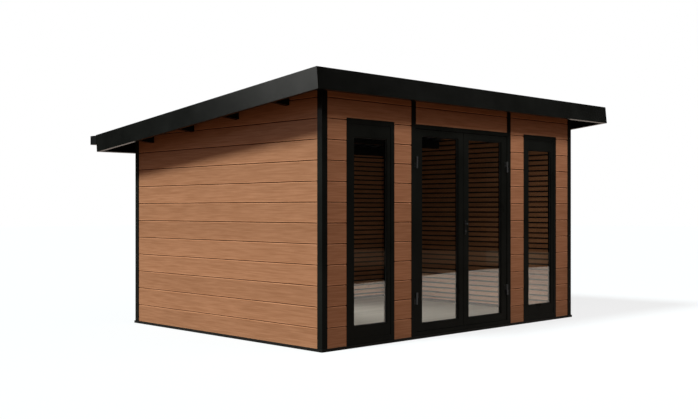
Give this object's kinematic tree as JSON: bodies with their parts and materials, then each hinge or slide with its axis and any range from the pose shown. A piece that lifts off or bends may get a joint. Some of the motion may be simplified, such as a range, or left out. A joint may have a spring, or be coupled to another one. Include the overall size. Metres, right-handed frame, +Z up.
{
  "type": "garden shed",
  "caption": "Garden shed of horizontal boards in a black metal frame, with a mono-pitch roof, a glazed double door that opens outward and tall fixed windows beside it.",
  "frame": {"origin": "centre of the footprint, on the underside of the middle floor joist, at ground level", "axes": "+X to the right seen from the door side, along the ridge-less roof's level edges; +Y from the door towards the back wall; +Z up"},
  "size_m": [4.67, 3.8694, 2.507],
  "materials": {
    "base_steel": "black powder coat, matt",
    "floor_boards": "pale grey-brown boards, matt",
    "black_aluminium": "black powder coat, satin",
    "wall_boards": "red-brown composite boards with a fine brushed grain",
    "lining_slats": "red-brown slats, matt",
    "roof_steel": "black coated steel, satin",
    "gutter_steel": "black coated steel, satin",
    "hinge_steel": "dark coated steel, its barrels and knob a little lighter",
    "clear_glass": "clear"
  },
  "bodies": {
    "shed": {"base_frame": "base_steel", "floor_deck": "floor_boards", "front_left_post": "black_aluminium", "front_right_post": "black_aluminium", "back_left_post": "black_aluminium", "back_right_post": "black_aluminium", "left_door_post": "black_aluminium", "right_door_post": "black_aluminium", "door_head": "black_aluminium", "door_sill": "black_aluminium", "left_window_frame": "black_aluminium", "left_window_sash": "black_aluminium", "right_window_frame": "black_aluminium", "right_window_sash": "black_aluminium", "left_wall": "wall_boards", "right_wall": "wall_boards", "back_wall": "wall_boards", "front_panel_left_outer": "wall_boards", "front_panel_left_inner": "wall_boards", "front_panel_left_top": "wall_boards", "front_panel_right_outer": "wall_boards", "front_panel_right_inner": "wall_boards", "front_panel_right_top": "wall_boards", "front_panel_door_top": "wall_boards", "left_lining": "lining_slats", "right_lining": "lining_slats", "back_lining": "lining_slats", "purlins": "roof_steel", "roof_sheet": "roof_steel", "front_fascia": "roof_steel", "back_fascia": "roof_steel", "left_fascia": "roof_steel", "right_fascia": "roof_steel", "gutter": "gutter_steel", "gutter_straps": "gutter_steel", "frame_hinges": "hinge_steel", "left_window_glass": "clear_glass", "right_window_glass": "clear_glass"},
    "left_leaf": {"left_leaf_frame": "black_aluminium", "left_leaf_glass": "clear_glass", "left_leaf_hinges": "hinge_steel"},
    "right_leaf": {"right_leaf_frame": "black_aluminium", "right_leaf_glass": "clear_glass", "right_leaf_hinges": "hinge_steel", "door_lock": "hinge_steel"}
  },
  "joints": [
    {"name": "left_leaf_hinge", "type": "hinge", "parent": "shed", "child": "left_leaf", "pos_m": [-0.745, -1.57, 1], "axis": [0, 0, -1], "range_deg": [0, 105]},
    {"name": "right_leaf_hinge", "type": "hinge", "parent": "shed", "child": "right_leaf", "pos_m": [0.745, -1.57, 1], "axis": [0, 0, 1], "range_deg": [0, 105]}
  ]
}
